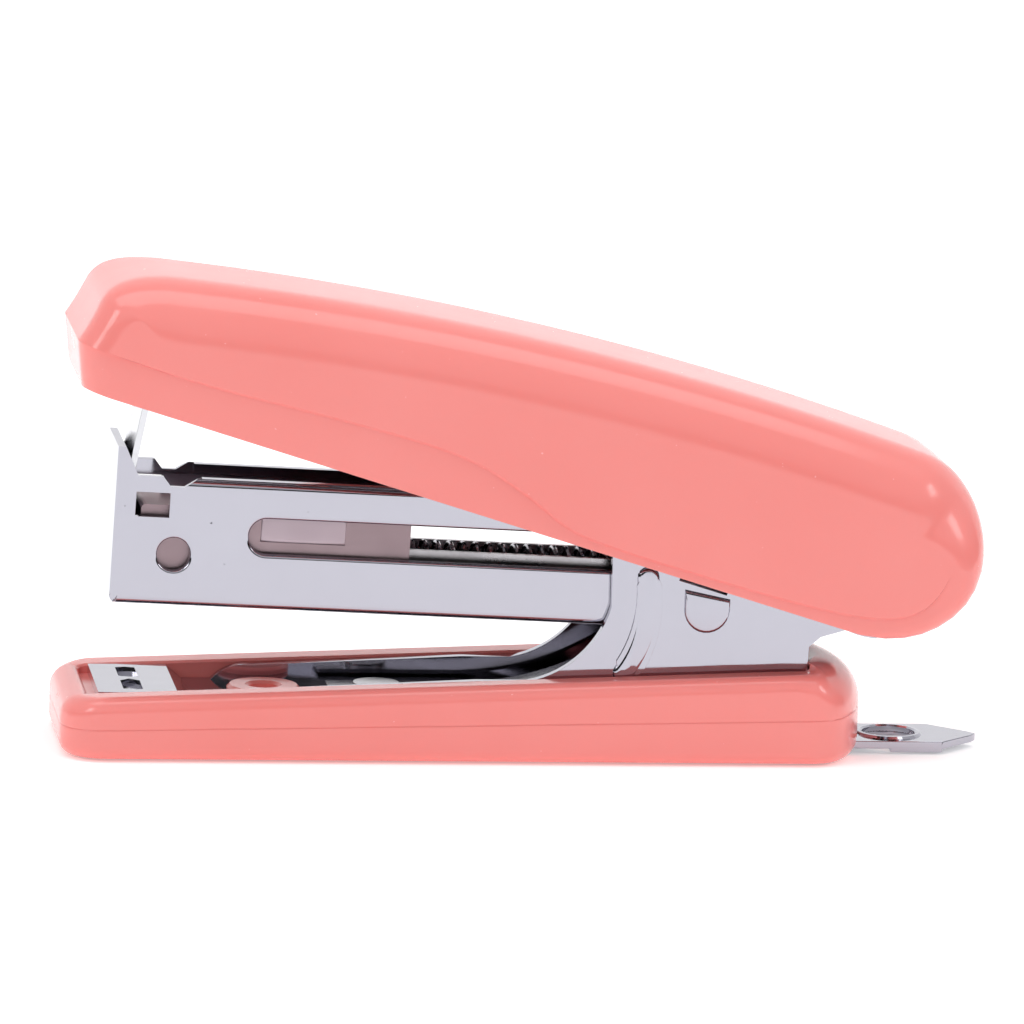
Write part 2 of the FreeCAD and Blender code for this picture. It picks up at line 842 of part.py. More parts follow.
def handle_frame():
    """The steel arm inside the lid: a web over the magazine and a flange down each side to the hinge."""
    body = new_body("handle_frame")
    under = dim("arm_web_under")
    top = under + dim("arm_steel")
    front = dim("arm_front")
    ear = dim("arm_ear_radius")
    side = draw(
        sketch(body, "XZ_Plane"),
        [
            (front, 3.6),
            (front, top),
            (dim("arm_web_rear"), top),
            (2.4, 5.72),
            (0.5, -6.18, ear, 0),
            (-14.0, -6.2),
            (-40.0, -1.8),
        ],
    )
    pad(body, side, "arm_inner_width + 2 * arm_steel")
    inside = draw(sketch(body, "XY_Plane", under), rectangle(front - 1, 12, dim("arm_inner_width") / 2))
    pocket(body, inside)
    behind = rectangle(dim("arm_web_rear"), 12, dim("arm_inner_width") / 2)
    open_rear = draw(sketch(body, "XY_Plane", under - 1), behind)
    pocket(body, open_rear, up=True)
    pin_hole = sketch(body, "XZ_Plane")
    pin_hole.addGeometry(Part.Circle(V(0, 0, 0), V(0, 0, 1), dim("pin_radius") + dim("pin_play")), False)
    pocket(body, pin_hole, symmetric=True)
    rivets = sketch(body, "XY_Plane", under - 1)
    for side in (-1, 1):
        draw_circle(rivets, dim("driver_rivet_x"), side * dim("driver_rivet_y"), "driver_rivet_radius")
    pocket(body, rivets, "arm_steel + 2", up=True)
    return keep(body, "handle_frame", DRIVER)


def driver_blade():
    """The blade that drives the staple, bent over at the top and riveted under the arm."""
    body = new_body("driver_blade")
    under = dim("arm_web_under")
    thick = dim("driver_steel")
    centre = dim("driver_centre")
    tip = dim("driver_tip")
    front = centre - thick / 2
    rear = centre + thick / 2
    side = draw(
        sketch(body, "XZ_Plane"),
        [
            (front, tip),
            (rear, tip),
            (rear, under - thick),
            (-70, under - thick),
            (-70, under),
            (front, under),
        ],
    )
    pad(body, side, "driver_width")
    rivets = sketch(body, "XY_Plane", under - 2)
    for side in (-1, 1):
        draw_circle(rivets, dim("driver_rivet_x"), side * dim("driver_rivet_y"), "driver_rivet_radius")
    pocket(body, rivets, "3", up=True)
    return keep(body, "driver_blade", DRIVER)


def driver_rivets():
    """Two rivets through the blade's tab and the arm's web."""
    under = dim("arm_web_under") - dim("driver_steel")
    top = dim("arm_web_under") + dim("arm_steel")
    radius = "driver_rivet_radius"
    place = dim("driver_rivet_x")
    half = dim("driver_rivet_y")
    rivets = [rivet_up(place, y, under, top, radius, f"{radius} + 0.6", 0.4) for y in (-half, half)]
    return keep(group(*rivets), "driver_rivets", DRIVER)


def hinge_bush():
    """The tube on the hinge pin that carries the return spring."""
    length = "mag_width - 2 * mag_steel - 0.4"
    start = V(0, -(dim("mag_width") / 2 - dim("mag_steel") - 0.2), 0)
    outside = cylinder("bush_radius", length, start, Y_AXIS)
    bore = cylinder("pin_radius + pin_play", length, start, Y_AXIS)
    tube = cut(outside, bore)
    return keep(tube, "hinge_bush", MAGAZINE)


def handle_return_spring():
    """A torsion spring: its coil's envelope, a leg on the magazine's floor and one under the arm."""
    half = dim("coil_length") / 2
    start = V(0, -half, 0)
    outside = cylinder("coil_radius", "coil_length", start, Y_AXIS)
    bore = cylinder("bush_radius + 0.05", "coil_length", start, Y_AXIS)
    coil = cut(outside, bore)
    wire = "coil_wire / 2"
    middle_radius = dim("coil_radius") - dim("coil_wire") / 2
    low_start = V(0, 1 - half, -middle_radius)
    low_end = V(-12.4, 1 - half, -7.95)
    high_start = V(0, half - 1, middle_radius)
    swing = FreeCAD.Rotation(Y_AXIS, dim("driver_tilt") - dim("magazine_tilt"))
    high_end = swing.multVec(V(-17.0, half - 1, dim("arm_web_under") - dim("coil_wire") / 2 - 0.05))
    legs = []
    for leg_start, leg_end in ((low_start, low_end), (high_start, high_end)):
        run = leg_end - leg_start
        legs.append(cylinder(wire, str(run.Length), leg_start, run))
    return keep(fuse(coil, *legs), "handle_return_spring", MAGAZINE)


for make in (
    base_cover,
    base_frame,
    staple_remover,
    remover_rivet,
    magazine_lift_spring,
    lift_spring_rivet,
    hinge_pin,
    magazine_channel,
    staple_rail,
    rail_rivets,
    spring_rod,
    pusher_spring,
    rear_spring_stop,
    pusher,
    handle_cover,
    handle_frame,
    driver_blade,
    driver_rivets,
    hinge_bush,
    handle_return_spring,
):
    make()
doc.recompute()

for item in doc.Objects:
    if {"Invalid", "Error"} & set(item.State):
        raise RuntimeError(f"{item.Label} failed: {item.State}")
for item in sub_parts:
    if item.Shape.isNull() or not item.Shape.isValid():
        raise RuntimeError(f"{item.Label} has no valid shape")

os.makedirs("parts", exist_ok=True)
for item in sub_parts:
    item.Shape.exportStep(f"parts/{item.Label}.step")
    solids = len(item.Shape.Solids)
    box_of_item = item.Shape.BoundBox
    extent = f"X {box_of_item.XMin:.1f} to {box_of_item.XMax:.1f}"
    print(f"{item.Label}: {solids} solid(s), {item.Shape.Volume:.1f} mm3, {extent}")
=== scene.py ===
"""Mini stapler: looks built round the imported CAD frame. Shapes are drawn in millimetres and placed in metres."""

import json
import math
import random

import bmesh
import bpy
from mathutils import Matrix, Vector


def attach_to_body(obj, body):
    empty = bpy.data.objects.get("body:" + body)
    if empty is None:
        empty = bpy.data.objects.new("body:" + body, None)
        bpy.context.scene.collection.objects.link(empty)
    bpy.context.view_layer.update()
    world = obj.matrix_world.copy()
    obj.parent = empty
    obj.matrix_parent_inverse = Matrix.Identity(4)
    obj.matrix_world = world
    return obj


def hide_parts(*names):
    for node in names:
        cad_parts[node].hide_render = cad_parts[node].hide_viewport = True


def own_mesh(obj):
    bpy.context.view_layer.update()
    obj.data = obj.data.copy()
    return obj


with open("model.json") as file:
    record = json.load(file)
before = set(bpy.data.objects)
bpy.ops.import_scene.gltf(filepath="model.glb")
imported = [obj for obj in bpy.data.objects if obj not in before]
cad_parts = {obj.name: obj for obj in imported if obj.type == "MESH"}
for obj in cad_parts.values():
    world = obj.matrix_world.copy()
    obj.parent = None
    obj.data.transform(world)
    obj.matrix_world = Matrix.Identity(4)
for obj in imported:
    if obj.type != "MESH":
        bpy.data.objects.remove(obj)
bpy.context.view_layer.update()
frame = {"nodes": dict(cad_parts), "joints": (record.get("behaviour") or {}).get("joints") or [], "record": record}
random.seed(7)

MM = 0.001
JOINTS = {joint["name"]: joint for joint in frame["joints"]}
PIVOT = Vector(JOINTS["handle_pivot"]["pos_m"])
MAGAZINE_TILT = 2.1
LID_TILT = 16.83
DRIVER_TILT = 10.9


def hinge_frame(tilt):
    """From millimetres about the hinge, turned front end up by a tilt in degrees, to the row frame in metres."""
    return Matrix.Translation(PIVOT) @ Matrix.Rotation(math.radians(tilt), 4, "Y") @ Matrix.Scale(MM, 4)


WORLD = Matrix.Scale(MM, 4)
MAGAZINE = hinge_frame(MAGAZINE_TILT)
LID = hinge_frame(LID_TILT)
DRIVER = hinge_frame(DRIVER_TILT)


# ---------------------------------------------------------------- camera and studio


def add_camera():
    """A long lens from the open side, a little above, turned about 2 degrees in the frame."""
    azimuth, elevation, roll = math.radians(-8.0), math.radians(10.2), math.radians(-2.1)
    distance = 0.773
    aim = Vector((-0.0015, 0, 0.0241))
    back = Vector((math.sin(azimuth) * math.cos(elevation), -math.cos(azimuth) * math.cos(elevation), math.sin(elevation)))
    level = Vector((math.cos(azimuth), math.sin(azimuth), 0))
    upright = back.cross(level)
    right = level * math.cos(roll) - upright * math.sin(roll)
    up = level * math.sin(roll) + upright * math.cos(roll)
    data = bpy.data.cameras.new("camera")
    data.sensor_width = 36
    data.lens = 263.67
    data.clip_start = 0.01
    data.clip_end = 20
    camera = bpy.data.objects.new("camera", data)
    bpy.context.scene.collection.objects.link(camera)
    turn = Matrix((right, up, back)).transposed().to_4x4()
    camera.matrix_world = Matrix.Translation(aim + back * distance) @ turn
    bpy.context.scene.camera = camera


def add_softbox(name, place, target, size, power, tint=(1, 1, 1)):
    """A rectangular area light that faces a target."""
    data = bpy.data.lights.new(name, "AREA")
    data.shape = "RECTANGLE"
    data.size, data.size_y = size
    data.energy = power
    data.color = tint
    light = bpy.data.objects.new(name, data)
    bpy.context.scene.collection.objects.link(light)
    light.location = place
    light.rotation_euler = (Vector(target) - Vector(place)).to_track_quat("-Z", "Y").to_euler()
    return light


def add_world():
    """A white studio with a dark band above the horizon, so that rounded metal edges have something to show."""
    world = bpy.data.worlds.new("studio")
    world.use_nodes = True
    bpy.context.scene.world = world
    tree = world.node_tree
    tree.nodes.clear()
    out = tree.nodes.new("ShaderNodeOutputWorld")
    background = tree.nodes.new("ShaderNodeBackground")
    ramp = tree.nodes.new("ShaderNodeValToRGB")
    coordinates = tree.nodes.new("ShaderNodeTexCoord")
    split = tree.nodes.new("ShaderNodeSeparateXYZ")
    tree.links.new(coordinates.outputs["Generated"], split.inputs[0])
    remap = tree.nodes.new("ShaderNodeMapRange")
    remap.inputs["From Min"].default_value = -1
    tree.links.new(split.outputs["Z"], remap.inputs["Value"])
    tree.links.new(remap.outputs[0], ramp.inputs[0])
    stops = ((0.0, 0.9), (0.485, 0.9), (0.5, 0.03), (0.60, 0.03), (0.66, 0.85), (0.8, 1.1), (1.0, 1.1))
    elements = ramp.color_ramp.elements
    while len(elements) < len(stops):
        elements.new(0.5)
    for element, (position, level) in zip(elements, stops):
        element.position = position
        element.color = (level, level, level * 1.02, 1)
    tree.links.new(ramp.outputs[0], background.inputs["Color"])
    background.inputs["Strength"].default_value = 0.62
    tree.links.new(background.outputs[0], out.inputs[0])


def add_backdrop(material):
    """A pale floor that sweeps up into a wall well behind the stapler."""
    width, near, far, radius, height = 3.0, -2.5, 0.9, 0.5, 2.2
    outline = [(near, 0.0), (far, 0.0)]
    outline += [
        (far + radius * math.sin(turn), radius * (1 - math.cos(turn)))
        for turn in (math.radians(step * 7.5) for step in range(1, 13))
    ]
    outline.append((far + radius, height))
    vertices = [(side * width, y, z - 0.0002) for y, z in outline for side in (-1, 1)]
    faces = [(2 * i, 2 * i + 1, 2 * i + 3, 2 * i + 2) for i in range(len(outline) - 1)]
    mesh = bpy.data.meshes.new("backdrop")
    mesh.from_pydata(vertices, [], faces)
    for polygon in mesh.polygons:
        polygon.use_smooth = True
    mesh.materials.append(material)
    backdrop = bpy.data.objects.new("backdrop", mesh)
    bpy.context.scene.collection.objects.link(backdrop)


# ---------------------------------------------------------------- materials


class Nodes:
    """A short way to write one procedural material."""

    def __init__(self, name):
        self.material = bpy.data.materials.new(name)
        self.material.use_nodes = True
        self.tree = self.material.node_tree
        self.shader = self.tree.nodes["Principled BSDF"]
        self.place = self.tree.nodes.new("ShaderNodeTexCoord").outputs["Object"]

    def add(self, kind, inputs=None, **settings):
        node = self.tree.nodes.new(kind)
        for name, value in settings.items():
            setattr(node, name, value)
        for name, value in (inputs or {}).items():
            if isinstance(value, bpy.types.NodeSocket):
                self.tree.links.new(value, node.inputs[name])
            else:
                node.inputs[name].default_value = value
        return node

    def noise(self, scale, detail=3.0, roughness=0.55, stretch=None):
        """Noise at a scale in features per metre, stretched along an axis if asked."""
        place = self.place
        if stretch:
            place = self.add("ShaderNodeMapping", {"Vector": place, "Scale": stretch}).outputs[0]
        inputs = {"Vector": place, "Scale": scale, "Detail": detail, "Roughness": roughness}
        return self.add("ShaderNodeTexNoise", inputs).outputs["Fac"]

    def remap(self, value, low, high, to_low, to_high):
        inputs = {"Value": value, "From Min": low, "From Max": high, "To Min": to_low, "To Max": to_high}
        return self.add("ShaderNodeMapRange", inputs).outputs[0]

    def mix(self, factor, first, second):
        node = self.add("ShaderNodeMix", data_type="RGBA")
        for socket, value in ((node.inputs[0], factor), (node.inputs[6], first), (node.inputs[7], second)):
            if isinstance(value, bpy.types.NodeSocket):
                self.tree.links.new(value, socket)
            else:
                socket.default_value = value
        return node.outputs[2]

    def link(self, name, value):
        self.tree.links.new(value, self.shader.inputs[name])

    def bump(self, *layers):
        """Bump from several heights, each with its strength and its depth in metres."""
        normal = None
        for height, strength, depth in layers:
            inputs = {"Height": height, "Strength": strength, "Distance": depth}
            if normal:
                inputs["Normal"] = normal
            normal = self.add("ShaderNodeBump", inputs).outputs[0]
        self.link("Normal", normal)


def pink_plastic(name, scratches=1.0):
    """Glossy salmon plastic with faint orange peel, a few hairline scratches and specks of dust."""
    nodes = Nodes(name)
    cloud = nodes.noise(45, 2)
    body = nodes.mix(nodes.remap(cloud, 0.3, 0.7, 0, 1), (0.925, 0.258, 0.232, 1), (0.94, 0.275, 0.25, 1))
    specks = nodes.remap(nodes.noise(1900, 1, 0.4), 0.80, 0.83, 0, 0.35 * scratches)
    hairline = nodes.remap(nodes.noise(330, 1, 0.3, (0.12, 1, 1.6)), 0.775, 0.80, 0, 0.35 * scratches)
    marks = nodes.add("ShaderNodeMath", {0: specks, 1: hairline}, operation="MAXIMUM").outputs[0]
    nodes.link("Base Color", nodes.mix(marks, body, (1.0, 0.62, 0.58, 1)))
    rough = nodes.remap(nodes.noise(120, 3), 0.3, 0.7, 0.13, 0.2)
    nodes.link("Roughness", nodes.add("ShaderNodeMath", {0: rough, 1: marks}, operation="ADD").outputs[0])
    nodes.shader.inputs["IOR"].default_value = 1.46
    nodes.shader.inputs["Coat Weight"].default_value = 0.15
    nodes.shader.inputs["Coat Roughness"].default_value = 0.06
    nodes.shader.inputs["Subsurface Weight"].default_value = 0.12
    nodes.shader.inputs["Subsurface Radius"].default_value = (0.0018, 0.0006, 0.0005)
    nodes.shader.inputs["Subsurface Scale"].default_value = 1.0
    nodes.bump((nodes.noise(420, 2), 0.05, 0.0002), (hairline, 0.12, 0.00005))
    return nodes.material


def plated_steel(name, colour=(0.80, 0.79, 0.83), rough=(0.05, 0.13), wave=0.10, pits=1.0):
    """Plated sheet: a clear reflection, broken by slight waves, hazy patches, drawing lines and small pits."""
    nodes = Nodes(name)
    haze = nodes.noise(140, 4)
    nodes.link("Base Color", nodes.mix(haze, (*[c * 0.94 for c in colour], 1), (*colour, 1)))
    fine = nodes.noise(900, 2, 0.5, (0.15, 1, 1))
    rough_a = nodes.remap(haze, 0.3, 0.75, *rough)
    rough_b = nodes.remap(fine, 0.45, 0.8, 0, 0.06)
    nodes.link("Roughness", nodes.add("ShaderNodeMath", {0: rough_a, 1: rough_b}, operation="ADD").outputs[0])
    nodes.shader.inputs["Metallic"].default_value = 1.0
    cells = nodes.add("ShaderNodeTexVoronoi", {"Vector": nodes.place, "Scale": 260.0, "Randomness": 1.0})
    pit = nodes.remap(cells.outputs["Distance"], 0.0, 0.07, 1.0 * pits, 0.0)
    nodes.bump((nodes.noise(85, 2), wave, 0.0006), (fine, 0.03, 0.0001), (pit, 0.25, -0.0001))
    return nodes.material


def backdrop_paper():
    """White sweep, lifted a little so that it stays white behind the part."""
    nodes = Nodes("backdrop_paper")
    tone = nodes.remap(nodes.noise(30, 2), 0, 1, 0.93, 0.95)
    nodes.link("Base Color", nodes.add("ShaderNodeCombineColor", {0: tone, 1: tone, 2: tone}).outputs[0])
    nodes.shader.inputs["Roughness"].default_value = 0.9
    nodes.shader.inputs["Emission Color"].default_value = (1, 1, 1, 1)
    nodes.shader.inputs["Emission Strength"].default_value = 0.3
    return nodes.material


# ---------------------------------------------------------------- mesh helpers


def solid(name, vertices, faces, place, material, sharp=35):
    """A mesh object from points in millimetres, welded, with outward faces and smooth shading up to an angle."""
    mesh = bpy.data.meshes.new(name)
    mesh.from_pydata([tuple(v) for v in vertices], [], faces)
    work = bmesh.new()
    work.from_mesh(mesh)
    bmesh.ops.remove_doubles(work, verts=work.verts, dist=0.004)
    bmesh.ops.recalc_face_normals(work, faces=work.faces)
    work.to_mesh(mesh)
    work.free()
    mesh.transform(place)
    mesh.materials.append(material)
    item = bpy.data.objects.new(name, mesh)
    bpy.context.scene.collection.objects.link(item)
    shade(mesh, sharp)
    return item


def shade(mesh, sharp):
    """Smooth shading, with edges sharper than an angle in degrees kept sharp."""
    for polygon in mesh.polygons:
        polygon.use_smooth = True
    mesh.set_sharp_from_angle(angle=math.radians(sharp))


def settle(item, sharp=35):
    """Applies an object's modifiers."""
    bpy.context.view_layer.update()
    depsgraph = bpy.context.evaluated_depsgraph_get()
    mesh = bpy.data.meshes.new_from_object(item.evaluated_get(depsgraph))
    item.modifiers.clear()
    item.data = mesh
    shade(mesh, sharp)
    return item


def cut_away(item, name, low, high, place):
    """Cuts a box, given by two corners in millimetres, out of an object."""
    corners = [(x, y, z) for x in (low[0], high[0]) for y in (low[1], high[1]) for z in (low[2], high[2])]
    faces = [(0, 1, 3, 2), (4, 6, 7, 5), (0, 4, 5, 1), (2, 3, 7, 6), (0, 2, 6, 4), (1, 5, 7, 3)]
    cutter = solid(name, corners, faces, place, item.data.materials[0])
    modifier = item.modifiers.new("cut", "BOOLEAN")
    modifier.operation = "DIFFERENCE"
    modifier.solver = "EXACT"
    modifier.use_self = True
    modifier.object = cutter
    settle(item)
    bpy.data.objects.remove(cutter)
    return item


def bevel(item, width, angle=40, segments=3):
    """Rounds an object's sharp edges, the width in millimetres."""
    modifier = item.modifiers.new("bevel", "BEVEL")
    modifier.width = width * MM
    modifier.segments = segments
    modifier.limit_method = "ANGLE"
    modifier.angle_limit = math.radians(angle)
    modifier.harden_normals = False
    return modifier


def grid_faces(rows, columns, start=0, closed=False):
    """Quads over a grid of points laid out row by row."""
    faces = []
    for row in range(rows - 1):
        for column in range(columns if closed else columns - 1):
            following = (column + 1) % columns
            a = start + row * columns
            b = start + (row + 1) * columns
            faces.append((a + column, a + following, b + following, b + column))
    return faces


def spread(first, last, count):
    """Evenly spaced numbers, both ends included."""
    return [first + (last - first) * i / (count - 1) for i in range(count)]


def ease(value):
    """A smooth step from 0 to 1."""
    value = min(1.0, max(0.0, value))
    return value * value * (3 - 2 * value)


def rotated(vector, degrees):
    turn = math.radians(degrees)
    return Vector((
        vector.x * math.cos(turn) - vector.y * math.sin(turn), vector.x * math.sin(turn) + vector.y * math.cos(turn)
    ))


def bezier(points, t):
    """A point on a Bezier curve in the plane."""
    points = [Vector(p) for p in points]
    while len(points) > 1:
        points = [a.lerp(b, t) for a, b in zip(points, points[1:])]
    return points[0]


def tube_along(name, path, radius, place, material, sides=10, cap=True):
    """A round wire along a path of points in millimetres."""
    vertices = []
    side_axis = Vector((0, 1, 0))
    for index, point in enumerate(path):
        before = path[max(index - 1, 0)]
        after = path[min(index + 1, len(path) - 1)]
        forward = (Vector(after) - Vector(before)).normalized()
        side_axis = (side_axis - forward * side_axis.dot(forward)).normalized()
        third = forward.cross(side_axis)
        for step in range(sides):
            turn = 2 * math.pi * step / sides
            vertices.append(Vector(point) + (side_axis * math.cos(turn) + third * math.sin(turn)) * radius)
    faces = grid_faces(len(path), sides, closed=True)
    if cap:
        last = (len(path) - 1) * sides
        faces.append(tuple(range(sides)))
        faces.append(tuple(range(last, last + sides)))
    return solid(name, vertices, faces, place, material, sharp=50)


def lathe(name, profile, place, material, sides=48, sharp=35):
    """A ring turned round the local Z axis from a closed profile of (radius, height) points."""
    count = len(profile)
    vertices = []
    for step in range(sides):
        turn = 2 * math.pi * step / sides
        vertices += [(radius * math.cos(turn), radius * math.sin(turn), height) for radius, height in profile]
    faces = []
    for step in range(sides):
        following = (step + 1) % sides
        for index in range(count):
            after = (index + 1) % count
            faces.append((step * count + index, step * count + after, following * count + after, following * count + index))
    return solid(name, vertices, faces, place, material, sharp)


# ---------------------------------------------------------------- lid

LID_HALF = 12.0
LID_WALL = 1.6
LID_BOTTOM = -8.3
ROOF_CENTRE = Vector((-13.0, -328.73))
ROOF_RADIUS = 340.0
REAR_CENTRE = Vector((-0.1, 1.368))
REAR_RADIUS = 9.65
REAR_JOIN = 87.76
REAR_STEP = 0.0
CREASE = Vector((-86.75, -3.95))
ROOF_FRONT = -79.6
LOW_ROWS = 8
HIGH_ROWS = 24
ROOF_COLUMNS = 70
STEP_INSET = 0.28
STEP_LINE = (
    (-73.5, -4.05), (-60.4, -3.2), (-50.5, -2.8), (-45.0, -3.1), (-41.0, -4.0), (-37.0, -5.4), (-33.5, -6.9),
    (-29.0, -7.3), (-19.0, -7.3), (-6.0, -6.95), (0.0, -6.2), (3.3, -4.9), (5.3, -2.7),
)


def roof_height(x):
    return ROOF_CENTRE.y + math.sqrt(ROOF_RADIUS**2 - (x - ROOF_CENTRE.x) ** 2)


def lid_front(row):
    """The front of the lid's side view, from the bottom edge (row 0) to the start of the roof."""
    if row <= LOW_ROWS:
        return Vector((-84.9, LID_BOTTOM)).lerp(CREASE, row / LOW_ROWS)
    t = (row - LOW_ROWS) / HIGH_ROWS
    if t < 0.4:
        return bezier([CREASE, (-86.1, -2.0), (-85.8, 0.2)], t / 0.4)
    start = Vector((ROOF_FRONT, roof_height(ROOF_FRONT)))
    return bezier([(-85.8, 0.2), (-85.45, 2.55), (-83.4, 3.75), start], (t - 0.4) / 0.6)


def lid_rear(row):
    """The rear arc of the side view at a row, from the bottom edge (row 0) to the roof, and its angle."""
    low = -88.0
    if row <= LOW_ROWS:
        angle = low + (REAR_STEP - low) * row / LOW_ROWS
    else:
        angle = REAR_STEP + (REAR_JOIN - REAR_STEP) * (row - LOW_ROWS) / HIGH_ROWS
    turn = math.radians(angle)
    return REAR_CENTRE + Vector((math.cos(turn), math.sin(turn))) * REAR_RADIUS, angle


def lid_stations():
    """Stations round the side view: point, way the side edge rounds, its radius, and whether below the step."""
    rows = LOW_ROWS + HIGH_ROWS
    stations = []
    for row in (*range(LOW_ROWS), LOW_ROWS - 0.06, *range(LOW_ROWS, rows)):
        share = ease(((row - LOW_ROWS) / HIGH_ROWS - 0.22) / 0.9)
        stations.append((lid_front(row), rotated(Vector((1, 0)), -79 * share), 3.3 + 2.9 * share, row < LOW_ROWS))
    join = REAR_CENTRE.x + REAR_RADIUS * math.cos(math.radians(REAR_JOIN))
    for column in range(ROOF_COLUMNS + 1):
        x = ROOF_FRONT + (join - ROOF_FRONT) * column / ROOF_COLUMNS
        point = Vector((x, roof_height(x)))
        share = ease(0.867 + 0.045 * column)
        down = (ROOF_CENTRE - point).normalized()
        turned = math.degrees(math.atan2(down.y, down.x)) * share
        stations.append((point, rotated(Vector((1, 0)), turned), 3.3 + 2.9 * share, False))
    for row in (*range(rows - 1, LOW_ROWS - 1, -1), LOW_ROWS - 0.03, *range(LOW_ROWS - 1, -1, -1)):
        point, angle = lid_rear(row)
        inward = (REAR_CENTRE - point).normalized().lerp(Vector((-1, 0)), ease((-30 - angle) / 58)).normalized()
        radius = 1.8 + 5.8 * ease((angle + 30) / 85) - 1.4 * ease((angle - 50) / 37)
        stations.append((point, inward, radius, row < LOW_ROWS))
    return stations


def smoothed(line, turns=2):
    """A polyline with its corners cut, its two ends kept."""
    for _ in range(turns):
        cut = [line[0]]
        for a, b in zip(line, line[1:]):
            cut += [a.lerp(b, 0.25), a.lerp(b, 0.75)]
        line = [*cut, line[-1]]
    return line


def lid_skin(wall):
    """One skin of the lid at a depth under the surface, as points and faces, and its open bottom edge."""
    stations = lid_stations()
    points = [station[0] for station in stations]
    last = len(stations) - 1
    placed = []
    for index, (point, inward, radius, low) in enumerate(stations):
        along = (points[min(index + 1, last)] - points[max(index - 1, 0)]).normalized()
        inset = STEP_INSET if low else 0.0
        if index > last / 2:
            inset *= ease((index - last + LOW_ROWS) / 3)
        moved = point + Vector((along.y, -along.x)) * wall
        if index in (0, last):
            moved.y = LID_BOTTOM
        placed.append((moved, inward, max(radius - wall, 0.4), LID_HALF - wall - inset, low))
    rolls, flats = 12, 8
    turns = [("roll", -1, math.pi / 2 * (1 - step / rolls)) for step in range(rolls + 1)]
    turns += [("flat", 0, -1 + 2 * step / flats) for step in range(1, flats)]
    turns += [("roll", 1, math.pi / 2 * step / rolls) for step in range(rolls + 1)]
    vertices = []
    for point, inward, radius, half, low in placed:
        for kind, side, value in turns:
            if kind == "roll":
                place = point + inward * radius * (1 - math.cos(value))
                vertices.append((place.x, side * (half - radius + radius * math.sin(value)), place.y))
            else:
                vertices.append((point.x, value * (half - radius), point.y))
    width = len(turns)
    faces = grid_faces(len(placed), width)
    edge = [point + inward * radius for point, inward, radius, half, low in placed]
    lows = [index for index, station in enumerate(placed) if station[4]]
    front_low = [index for index in lows if index < last / 2]
    rear_low = [index for index in lows if index > last / 2]
    ends = [edge[front_low[-1] + 1], edge[rear_low[0] - 1]]
    line = smoothed([ends[0], *[Vector(point) for point in STEP_LINE], ends[1]])
    under = smoothed([edge[front_low[-1]], *[Vector(point) - Vector((0, 0.26)) for point in STEP_LINE], edge[rear_low[0]]])
    for side, column in ((-1, 0), (1, width - 1)):
        start = len(vertices)
        vertices += [(p.x, side * (LID_HALF - wall), p.y) for p in line[1:-1]]
        middle = len(vertices)
        for k, p in enumerate(under[1:-1]):
            inset = STEP_INSET * ease((len(under) - 2 - k) / 8)
            vertices.append((p.x, side * (LID_HALF - wall - inset), p.y))
        upper = [front_low[-1] + 1, *[None] * (len(line) - 2), rear_low[0] - 1]
        top_row = [upper[0] * width + column, *range(start, middle), upper[-1] * width + column]
        low_row = [front_low[-1] * width + column, *range(middle, len(vertices)), rear_low[0] * width + column]
        faces += [(top_row[k], top_row[k + 1], low_row[k + 1], low_row[k]) for k in range(len(top_row) - 1)]
        above = [index * width + column for index in range(front_low[-1] + 2, rear_low[0] - 1)]
        faces.append((*top_row, *reversed(above)))
        below_rear = [index * width + column for index in rear_low[1:]]
        below_front = [index * width + column for index in front_low[:-1]]
        faces.append((*low_row, *below_rear, *below_front))
    rim = [*range(width), *range(last * width + width - 1, last * width - 1, -1)]
    return vertices, faces, rim


def make_lid(material):
    """The lid: an outer and an inner skin joined along the bottom edge, notched for the steelwork."""
    vertices, faces, rim = lid_skin(0.0)
    inner_vertices, inner_faces, inner_rim = lid_skin(LID_WALL)
    start = len(vertices)
    vertices += inner_vertices
    faces += [tuple(start + index for index in reversed(face)) for face in inner_faces]
    count = len(rim)
    for k in range(count):
        after = (k + 1) % count
        faces.append((rim[k], rim[after], start + inner_rim[after], start + inner_rim[k]))
    lid = solid("lid", vertices, faces, LID, material, sharp=40)
    cut_away(lid, "notch", (-0.5, -7.4, -14), (14, 7.4, 2.5), LID)
    bevel(lid, 0.22, 60, 2)
    flatten(lid)
    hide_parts("handle_cover")
    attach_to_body(lid, "handle")
    for index, x in enumerate((-60.0, -28.0)):
        top = roof_height(x) - 1.4
        post = lathe(f"lid_post_{index}", [(0.9, 0), (1.8, 0), (1.8, 9.0), (0.9, 9.0)], LID @ Matrix.Translation((x, 0, top - 9.0)), material)
        attach(post, "handle")
    return lid


def flatten(item):
    """Keeps the flat faces' shading flat beside their rounded edges."""
    modifier = item.modifiers.new("weighted", "WEIGHTED_NORMAL")
    modifier.keep_sharp = True
    modifier.weight = 50


def attach(item, body):
    """Puts a small piece on a body."""
    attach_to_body(item, body)
    return item


# ---------------------------------------------------------------- base

BASE_HALF = 11.5
BASE_FRONT = -48.2
BASE_REAR = 36.3
RECESS_FRONT = -45.4
RECESS_REAR = 29.2
RECESS_HALF = 7.4
RECESS_FLOOR = 4.0
CAVITY_TOP = 2.4


